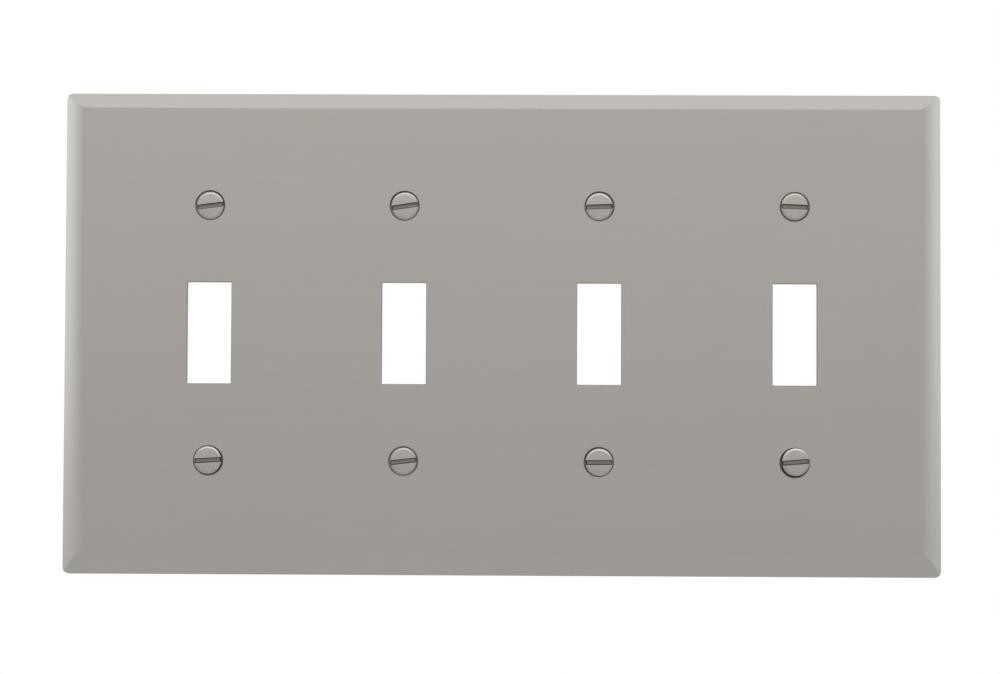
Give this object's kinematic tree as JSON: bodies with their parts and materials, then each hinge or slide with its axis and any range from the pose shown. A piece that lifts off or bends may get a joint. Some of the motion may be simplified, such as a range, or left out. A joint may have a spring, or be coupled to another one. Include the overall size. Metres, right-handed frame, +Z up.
{
  "type": "four-gang toggle wall plate",
  "caption": "Bevelled metal cover plate for a row of toggle switches, hollow behind, with slotted oval head screws in countersunk seats.",
  "frame": {"origin": "middle of the plate in the plane of the wall, which is the plane of the back rim and the centre of both screw patterns", "axes": "+X to the right along the row of gangs, seen from the front; +Z up; -Y out of the front face, so +Y points into the wall, the way the screws go"},
  "size_m": [0.208, 0.0135, 0.1142],
  "materials": {
    "satin_nickel_plate": "satin nickel, finely brushed",
    "satin_nickel_screw": "satin nickel plated, turned"
  },
  "bodies": {
    "root": {"wall_plate": "satin_nickel_plate", "screw_upper_1": "satin_nickel_screw", "screw_upper_2": "satin_nickel_screw", "screw_upper_3": "satin_nickel_screw", "screw_upper_4": "satin_nickel_screw", "screw_lower_1": "satin_nickel_screw", "screw_lower_2": "satin_nickel_screw", "screw_lower_3": "satin_nickel_screw", "screw_lower_4": "satin_nickel_screw"}
  },
  "joints": []
}
